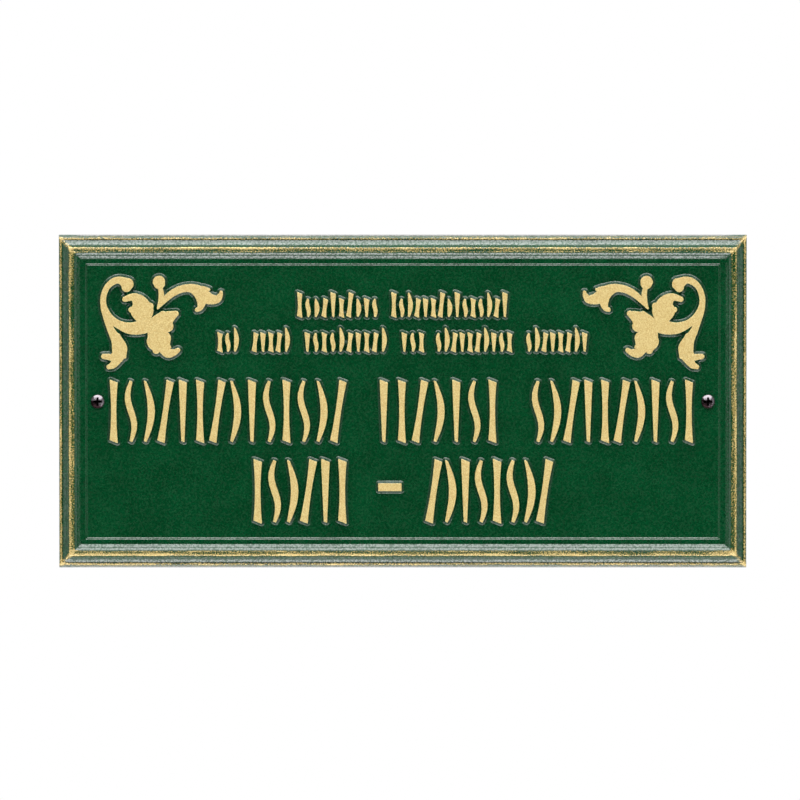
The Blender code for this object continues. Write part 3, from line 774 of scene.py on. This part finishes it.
# %% The head
SCREW_SEAT = FIELD_HEIGHT + 0.0003
HEAD_RADIUS = 0.0041
HEAD_EDGE = 0.0010
HEAD_CROWN = 0.0019
RECESS_HALF_SPAN = 0.00255
RECESS_HALF_WIDTH = 0.00064
RECESS_DEPTH = 0.0018
SQUARE_PART = 0.64
SQUARE_REACH = 0.0026
# Distances of the grid's straight lines from the middle, in millimetres
HEAD_LINES = (
    0.0, 0.12, 0.24, 0.33, 0.38, 0.44, 0.50, 0.545, 0.575, 0.62, 0.70, 0.82, 1.0, 1.2, 1.4,
    1.6, 1.8, 1.95, 2.1, 2.22, 2.33, 2.38, 2.45, 2.6,
)
# Rings of the head's wall and seat: share of the radius, height over the seat
HEAD_WALL = ((1.0, 0.0004), (0.985, 0.0), (0.4, 0.0))


def head_lines():
    """Shares from the head's middle to its rim, close together at the recess's edges."""
    inner = np.array(HEAD_LINES) * 0.001 * SQUARE_PART / SQUARE_REACH
    half = np.concatenate([inner, SQUARE_PART + (1 - SQUARE_PART) * turns(12) ** 0.8])
    return np.concatenate([-half[:0:-1], half])


def head_surface():
    """Points over the head's front.

    A share pair (u, v) goes to (u, v) times a length near the middle and to a
    circle of that share of the radius near the rim. The crown's height is a
    power of one less the square of the distance from the axis, and the recess
    is cut from it by the smaller of the distances to its arm's side and end.
    """
    u, v = np.meshgrid(head_lines(), head_lines())
    outermost = np.maximum(np.abs(u), np.abs(v))
    distance = np.maximum(np.hypot(u, v), 1e-9)
    t = np.clip((outermost - SQUARE_PART) / (1 - SQUARE_PART), 0, 1)
    blend = t * t * (3 - 2 * t)
    length = SQUARE_REACH / SQUARE_PART
    radius = HEAD_RADIUS * outermost
    x = (1 - blend) * u * length + blend * u / distance * radius
    z = (1 - blend) * v * length + blend * v / distance * radius
    share = np.clip(np.hypot(x, z) / HEAD_RADIUS, 0, 1)
    crown = HEAD_EDGE + HEAD_CROWN * (1 - share**2) ** 0.9
    arm_x = np.minimum(8 * (RECESS_HALF_WIDTH - np.abs(z)), 3 * (RECESS_HALF_SPAN - np.abs(x)))
    arm_z = np.minimum(8 * (RECESS_HALF_WIDTH - np.abs(x)), 3 * (RECESS_HALF_SPAN - np.abs(z)))
    recess = np.clip(np.maximum(arm_x, arm_z), 0, RECESS_DEPTH)
    return np.stack([x, -(crown - recess), z], axis=-1), recess / RECESS_DEPTH


# %% The shank and its thread
SHARP_SCREW = math.radians(40)
SCREW_LENGTH = 0.032
TIP_LENGTH = 0.005
THREAD_PITCH = 0.0017
THREAD_START = 0.010
CORE_RADIUS = 0.00145
SHANK_COLUMNS = 40


def shank_surface():
    """A threaded shank: the radius as a function of the turn and of the depth into the wall.

    The core narrows to the tip. A ridge stands on it wherever the depth, less
    one pitch for each whole turn, comes back to a whole number of pitches.
    """
    threaded_part = np.arange(THREAD_START - 0.001, SCREW_LENGTH, 0.1 * THREAD_PITCH)
    depth = np.concatenate([[-0.0006, 0.0, 0.004, 0.008], threaded_part, [SCREW_LENGTH]])[:, None]
    turn = 2 * np.pi * np.arange(SHANK_COLUMNS)[None] / SHANK_COLUMNS
    phase = (depth / THREAD_PITCH - turn / (2 * np.pi) + 0.5) % 1 - 0.5
    ridge = np.clip(1 - np.abs(phase) / 0.26, 0, 1)
    threaded = np.clip((depth - THREAD_START) / 0.0015, 0, 1)
    point = np.clip((SCREW_LENGTH - depth) / TIP_LENGTH, 0.02, 1) ** 0.9
    core = SCREW_SHANK_RADIUS + (CORE_RADIUS - SCREW_SHANK_RADIUS) * threaded
    height = (SCREW_SHANK_RADIUS - CORE_RADIUS) * ridge * threaded * np.clip(point * 1.6, 0, 1)
    radius = np.minimum(core * point + height, SCREW_SHANK_RADIUS)
    y = depth + 0 * turn
    return np.stack([radius * np.sin(turn), y, radius * np.cos(turn)], axis=-1)


def screw_object(name, centre_x):
    """The head's front, its wall and seat, and the shank, as closed skins in one mesh."""
    front, recess = head_surface()
    n = len(front)
    numbers = np.arange(n * n).reshape(n, n)
    quads = np.stack([numbers[:-1, :-1], numbers[:-1, 1:], numbers[1:, 1:], numbers[1:, :-1]], axis=-1)
    rim = np.concatenate([numbers[0, :-1], numbers[:-1, -1], numbers[-1, :0:-1], numbers[:0:-1, 0]])
    points = front.reshape(-1, 3)
    edge = points[rim]
    wall = [edge * [share, 0, share] - [0, height, 0] for share, height in HEAD_WALL]
    first = n * n + len(HEAD_WALL) * len(rim)
    rings = np.concatenate([rim, np.arange(n * n, first)]).reshape(-1, len(rim))
    wall_faces = rings.ravel()[grid_faces(*rings.shape)][:, ::-1]
    shank = shank_surface()
    shank_faces = first + grid_faces(len(shank), SHANK_COLUMNS)
    end_ring = first + np.arange(SHANK_COLUMNS)
    ends = [end_ring[::-1].tolist(), (end_ring + (len(shank) - 1) * SHANK_COLUMNS).tolist()]
    points = np.vstack([points] + wall + [shank.reshape(-1, 3)])
    # Painted light: a share that grows towards the head's upper right, where the colour is painted lighter.
    painted_light_share = 0.5 + (0.42 * points[:, 2] + 0.22 * points[:, 0]) / HEAD_RADIUS
    in_recess = np.concatenate([recess.ravel(), np.zeros(len(points) - n * n)])
    points = points + [centre_x, -SCREW_SEAT, 0]
    faces = quads.reshape(-1, 4).tolist() + wall_faces.tolist() + [rings[-1].tolist()[::-1]]
    faces += shank_faces.tolist() + ends
    screw = mesh_object(name, points, faces, SHARP_SCREW)
    paint_attribute(screw, "painted_light_share", painted_light_share)
    paint_attribute(screw, "in_recess", in_recess)
    return screw


screws = [screw_object("left_cross_screw", -SCREW_X), screw_object("right_cross_screw", SCREW_X)]
for screw in screws:
    print(screw.name, len(screw.data.polygons), "faces")

# %% [markdown]
# ## The finishes
#
# Materials are networks of nodes. A small helper adds and wires them, so that
# each finish below reads as a short recipe.

# %% Helpers for materials
class Recipe:
    """A material and short ways to add nodes to it."""

    def __init__(self, name):
        self.material = bpy.data.materials.new(name)
        self.material.use_nodes = True
        self.tree = self.material.node_tree
        self.shader = self.tree.nodes["Principled BSDF"]
        self.place = self.node("ShaderNodeTexCoord").outputs["Object"]

    def wire(self, node, inputs):
        """Links a socket to each input that is given one, and sets the others to their value."""
        for key, value in inputs.items():
            if isinstance(value, bpy.types.NodeSocket):
                self.tree.links.new(value, node.inputs[key])
            else:
                node.inputs[key].default_value = value

    def node(self, kind, inputs=None, **options):
        node = self.tree.nodes.new(kind)
        for key, value in options.items():
            setattr(node, key, value)
        self.wire(node, inputs or {})
        return node

    def math(self, operation, *values):
        return self.node("ShaderNodeMath", dict(enumerate(values)), operation=operation).outputs[0]

    def total(self, first, second):
        return self.math("ADD", first, second)

    def product(self, first, second):
        return self.math("MULTIPLY", first, second)

    def noise(self, scale, detail=3.0, roughness=0.5, vector=None):
        inputs = {"Vector": vector or self.place, "Scale": scale, "Detail": detail, "Roughness": roughness}
        return self.node("ShaderNodeTexNoise", inputs).outputs["Fac"]

    def between(self, value, low, high, to_low=0.0, to_high=1.0):
        """A soft step: to_low up to low, to_high from high on."""
        inputs = {"Value": value, "From Min": low, "From Max": high, "To Min": to_low, "To Max": to_high}
        return self.node("ShaderNodeMapRange", inputs, interpolation_type="SMOOTHSTEP").outputs["Result"]

    def blend(self, share, first, second):
        """A colour between two: on a colour mix, sockets 6 and 7 are the colours and 2 the result."""
        return self.node("ShaderNodeMix", {0: share, 6: first, 7: second}, data_type="RGBA").outputs[2]

    def attribute(self, name):
        return self.node("ShaderNodeAttribute", attribute_name=name).outputs["Fac"]

    def bump(self, height, distance):
        inputs = {"Height": height, "Distance": distance, "Strength": 1.0}
        return self.node("ShaderNodeBump", inputs).outputs["Normal"]

    def finish(self, **inputs):
        self.wire(self.shader, {key.replace("_", " ").title(): value for key, value in inputs.items()})
        return self.material


# %% [markdown]
# The casting was sprayed dark green all over and the raised parts were gone
# over in pale gold: rolled on full on the flat tops, and rubbed along the
# ridges, where it skips. The cloth left more on the mitres. The lower rails get
# more gold and the upper ones a little less, a painted highlight for the light
# that falls from above on their upward slopes. The border's streaks follow each
# rail, so the recipe first asks of every point whether it is nearer an end or a
# long side, and measures along and across the rail from there.
#
# A thin, patchy clear coat over the green catches the light in specks. It is
# missing where gold was rubbed and in the angle round the relief.

# %% Green paint, gold and bare metal on the casting
GREEN_DEEP = (0.0004, 0.0285, 0.0078, 1.0)
GREEN_LIGHT = (0.0009, 0.0400, 0.0118, 1.0)
# The last green is painted shade for the relief's wall and foot.
GREEN_PAINTED_SHADE = (0.0004, 0.0240, 0.0068, 1.0)
GOLD_PALE = (0.635, 0.52, 0.235, 1.0)
GOLD_DEEP = (0.480, 0.325, 0.108, 1.0)
GOLD_THIN = (0.14, 0.110, 0.022, 1.0)
BARE_LIGHT = (0.50, 0.50, 0.49, 1.0)
BARE_DARK = (0.30, 0.30, 0.29, 1.0)
STREAK_DEPTH = 1.6
SPECK_DEPTH = 3.4
SKIP_LEVEL = 2.57
MITRE_REACH = 0.0030
MITRE_GOLD = 0.62
PAINT_RIPPLE = 0.00015
COAT_ROUGHNESS = 0.09

paint = Recipe("painted_casting")
split = paint.node("ShaderNodeSeparateXYZ", {0: paint.place})
x, z = split.outputs["X"], split.outputs["Z"]
from_end = paint.math("SUBTRACT", PLAQUE_WIDTH / 2 - END_DRAFT, paint.math("ABSOLUTE", x))
from_side = paint.math("SUBTRACT", PLAQUE_HEIGHT / 2 - LONG_DRAFT, paint.math("ABSOLUTE", z))
on_end = paint.math("LESS_THAN", from_end, from_side)
across = paint.math("MINIMUM", from_end, from_side)
on_long_side = paint.math("SUBTRACT", 1.0, on_end)
along = paint.total(paint.product(z, on_end), paint.product(x, on_long_side))
half_plane = paint.math("SIGN", paint.total(x, paint.product(z, 1.7)))
side_number = paint.total(half_plane, on_end)


def rail_vector(along_scale, across_scale):
    """Coordinates that follow a rail, with the third far apart from rail to rail."""
    parts = {
        0: paint.product(along, along_scale),
        1: paint.product(across, across_scale),
        2: paint.product(side_number, 5.3),
    }
    return paint.node("ShaderNodeCombineXYZ", parts).outputs[0]


streak = paint.noise(1.0, 3.0, 0.5, rail_vector(45.0, 420.0))
speck = paint.noise(1250.0, 3.0, 0.6)
skips = paint.total(paint.product(streak, STREAK_DEPTH), paint.product(speck, SPECK_DEPTH))
off_mitre = paint.math("ABSOLUTE", paint.math("SUBTRACT", from_end, from_side))
on_corner = paint.product(paint.between(off_mitre, MITRE_REACH, 0.0), paint.between(across, 0.0098, 0.0090))
rubbed = paint.total(paint.attribute("gold"), paint.product(on_corner, MITRE_GOLD))
touched = paint.between(rubbed, 0.04, 0.30)
skips = paint.product(paint.math("SUBTRACT", skips, SKIP_LEVEL), touched)
# Painted light: the gold grows towards the bottom of the plaque, which brightens the lower rails and dims
# the upper ones.
lower_rails_painted_light = paint.between(z, PLAQUE_HEIGHT / 2, -PLAQUE_HEIGHT / 2, -0.02, 0.12)
rubbed = paint.total(rubbed, paint.product(lower_rails_painted_light, touched))
gold_load = paint.total(rubbed, skips)
thin_gold = paint.between(gold_load, 0.15, 0.70)
gold_mask = paint.between(gold_load, 0.50, 1.15)

cloud = paint.noise(60.0, 3.0)
dust = paint.noise(720.0, 2.0, 0.6)
tone = paint.total(paint.product(cloud, 0.4), paint.product(dust, 0.6))
green = paint.blend(paint.between(tone, 0.38, 0.62), GREEN_DEEP, GREEN_LIGHT)
# Painted shade: where the gold attribute is below zero, on the relief's wall and foot, the green is
# darkened.
green = paint.blend(paint.between(paint.attribute("gold"), -0.05, -0.45), green, GREEN_PAINTED_SHADE)
brush = {0: paint.place, 1: (2600.0, 2600.0, 1500.0)}
brush = paint.node("ShaderNodeVectorMath", brush, operation="MULTIPLY").outputs[0]
brushed = paint.noise(1.0, 3.0, 0.6, brush)
flake = paint.total(paint.product(brushed, 0.5), paint.product(paint.noise(1300.0, 2.0, 0.6), 0.5))
gold = paint.blend(paint.between(flake, 0.38, 0.62), GOLD_DEEP, GOLD_PALE)
sand = paint.noise(900.0, 4.0, 0.65)
bare = paint.blend(paint.between(sand, 0.35, 0.65), BARE_DARK, BARE_LIGHT)

overspray = paint.product(paint.math("SUBTRACT", cloud, 0.5), 0.6)
bare_mask = paint.between(paint.total(paint.attribute("bare_metal"), overspray), 0.55, 0.75)
colour = paint.blend(thin_gold, green, GOLD_THIN)
colour = paint.blend(gold_mask, colour, gold)
colour = paint.blend(bare_mask, colour, bare)
film = paint.noise(760.0, 3.0, 0.65)
gloss = paint.between(film, 0.43, 0.55, 0.30, 0.10)
gloss = paint.total(gloss, paint.product(thin_gold, 0.24))
gloss = paint.total(gloss, paint.product(bare_mask, 0.22))
metal = paint.math("MAXIMUM", paint.product(gold_mask, 0.35), bare_mask)

ripple = paint.noise(950.0, 2.0, 0.55)
relief = paint.total(ripple, paint.product(paint.product(sand, bare_mask), 1.5))
relief = paint.total(relief, paint.product(paint.product(brushed, gold_mask), 0.20))
normal = paint.bump(relief, PAINT_RIPPLE)
uncoated = paint.math("MAXIMUM", bare_mask, paint.product(thin_gold, 0.45))
coat = paint.product(paint.math("SUBTRACT", 1.0, uncoated), paint.between(film, 0.43, 0.55, 0.03, 1.0))
coat = paint.product(coat, paint.between(paint.attribute("gold"), -0.50, -0.05, 0.06, 0.9))
paint_material = paint.finish(base_color=colour, roughness=gloss, metallic=metal, normal=normal)
paint.finish(coat_weight=coat, coat_roughness=COAT_ROUGHNESS, coat_normal=normal)
casting.data.materials.append(paint_material)

# %% [markdown]
# The screws are blackened steel. Each head is painted lighter towards its upper
# right, a painted highlight, and dark brown on its lower side, a painted shade.
# The cross recess is painted near black, also painted shade.

# %% Blackened steel
# Painted highlight and painted shade colours of the steel, and the recess's painted shade.
STEEL_BROWN_PAINTED_SHADE = (0.011, 0.0055, 0.0065, 1.0)
STEEL_PAINTED_LIT = (0.155, 0.140, 0.152, 1.0)
RECESS_PAINTED_SHADE = (0.004, 0.003, 0.003, 1.0)
STEEL_GRAIN = 0.00002

steel = Recipe("blackened_steel")
blotch_noise = steel.noise(650.0, 4.0, 0.6)
fine = steel.noise(3800.0, 2.0)
patches = steel.product(steel.math("SUBTRACT", blotch_noise, 0.5), 1.3)
# Painted light: the head is painted lighter where the share is high, in patches, and dark brown elsewhere.
painted_lit_side = steel.between(steel.total(steel.attribute("painted_light_share"), patches), 0.32, 0.62)
steel_colour = steel.blend(painted_lit_side, STEEL_BROWN_PAINTED_SHADE, STEEL_PAINTED_LIT)
# Painted shade: the cross recess is painted near black.
recess_painted_shade = steel.between(steel.attribute("in_recess"), 0.0, 0.15)
steel_colour = steel.blend(recess_painted_shade, steel_colour, RECESS_PAINTED_SHADE)
gloss = steel.between(fine, 0.3, 0.7, 0.20, 0.34)
normal = steel.bump(steel.total(fine, blotch_noise), STEEL_GRAIN)
steel_material = steel.finish(base_color=steel_colour, roughness=gloss, metallic=1.0, normal=normal)
for screw in screws:
    screw.data.materials.append(steel_material)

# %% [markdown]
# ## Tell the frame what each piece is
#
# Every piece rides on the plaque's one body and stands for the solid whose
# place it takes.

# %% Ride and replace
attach(casting, "root")
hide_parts("plaque_casting")
for screw, node_name in zip(screws, ("left_screw", "right_screw")):
    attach(screw, "root")
    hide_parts(node_name)

# %% [markdown]
# ## Floor, light and camera
#
# The plaque was photographed square on with a long lens. A large soft box and
# two narrower ones hang above it, a low one stands below, and pale cards stand
# at the sides, with nothing bright behind the camera. That is why each rail's
# slopes shine while the flat field stays deep green.

# %% Floor
FLOOR_HEIGHT = -0.95
FLOOR_REACH = 2.5
corners = [(FLOOR_REACH * x, FLOOR_REACH * y, FLOOR_HEIGHT) for x, y in ((-1, -1), (1, -1), (1, 1), (-1, 1))]
floor_mesh = bpy.data.meshes.new("floor")
floor_mesh.from_pydata(corners, [], [(0, 1, 2, 3)])
floor = bpy.data.objects.new("floor", floor_mesh)
bpy.context.scene.collection.objects.link(floor)
floor_paint = Recipe("pale_floor")
floor_tone = floor_paint.blend(floor_paint.noise(3.0), (0.78, 0.78, 0.78, 1.0), (0.84, 0.84, 0.84, 1.0))
floor_mesh.materials.append(floor_paint.finish(base_color=floor_tone, roughness=0.8))

# %% Soft boxes
# Place, width and depth, and radiance of each
SOFT_BOXES = {
    "box_above": ((0, -0.65, 1.50), 3.2, 1.6, 5.5),
    "box_overhead": ((0, -0.28, 1.62), 3.2, 0.5, 1.9),
    "strip_above": ((0, -1.36, 1.02), 3.2, 0.54, 2.6),
    "box_below": ((0, -0.42, -0.863), 2.4, 0.38, 4.4),
    "card_left": ((-1.72, -0.56, 0.1), 1.1, 1.6, 0.92),
    "card_right": ((1.72, -0.56, 0.1), 1.1, 1.6, 0.92),
}


def soft_box(name, place, size_x, size_y, radiance):
    """An area light that faces the plaque: its power is pi times its area times its radiance."""
    data = bpy.data.lights.new(name, "AREA")
    data.shape = "RECTANGLE"
    data.size = size_x
    data.size_y = size_y
    data.energy = math.pi * size_x * size_y * radiance
    box = bpy.data.objects.new(name, data)
    bpy.context.scene.collection.objects.link(box)
    box.location = place
    box.rotation_euler = (-Vector(place)).to_track_quat("-Z", "Y").to_euler()
    box.visible_camera = False


for name, values in SOFT_BOXES.items():
    soft_box(name, *values)

# %% [markdown]
# The world is white to the camera. To the paint it is dark in front of the
# plaque, and it brightens softly towards the backdrop behind it.

# %% Backdrop
world = bpy.data.worlds.new("studio")
bpy.context.scene.world = world
world.use_nodes = True
tree = world.node_tree
background = tree.nodes["Background"]
background.inputs["Color"].default_value = (1, 1, 1, 1)
kinds = ("LightPath", "TexCoord", "SeparateXYZ", "MapRange", "Math")
ray, heading, parts, backdrop, seen = (tree.nodes.new("ShaderNode" + kind) for kind in kinds)
for key, value in (("From Min", -0.05), ("From Max", 0.30), ("To Min", 0.008), ("To Max", 0.9)):
    backdrop.inputs[key].default_value = value
seen.operation = "MAXIMUM"
for output, target in (
    (heading.outputs["Generated"], parts.inputs[0]),
    (parts.outputs["Y"], backdrop.inputs["Value"]),
    (backdrop.outputs["Result"], seen.inputs[0]),
    (ray.outputs["Is Camera Ray"], seen.inputs[1]),
    (seen.outputs[0], background.inputs["Strength"]),
):
    tree.links.new(output, target)
bpy.context.scene.view_settings.view_transform = "Standard"

# %% Camera
CAMERA_DISTANCE = 4.5
CAMERA_RISE = math.radians(2.0)
VIEW_WIDTH = 0.4796
VIEW_CENTRE = (-0.00168, -0.0091, 0.00100)
camera_data = bpy.data.cameras.new("camera")
camera_data.sensor_width = 36.0
camera_data.lens = camera_data.sensor_width * CAMERA_DISTANCE / VIEW_WIDTH
camera = bpy.data.objects.new("camera", camera_data)
bpy.context.scene.collection.objects.link(camera)
away = Vector((0, -math.cos(CAMERA_RISE), math.sin(CAMERA_RISE)))
camera.location = Vector(VIEW_CENTRE) + CAMERA_DISTANCE * away
camera.rotation_euler = (-away).to_track_quat("-Z", "Y").to_euler()
bpy.context.scene.camera = camera
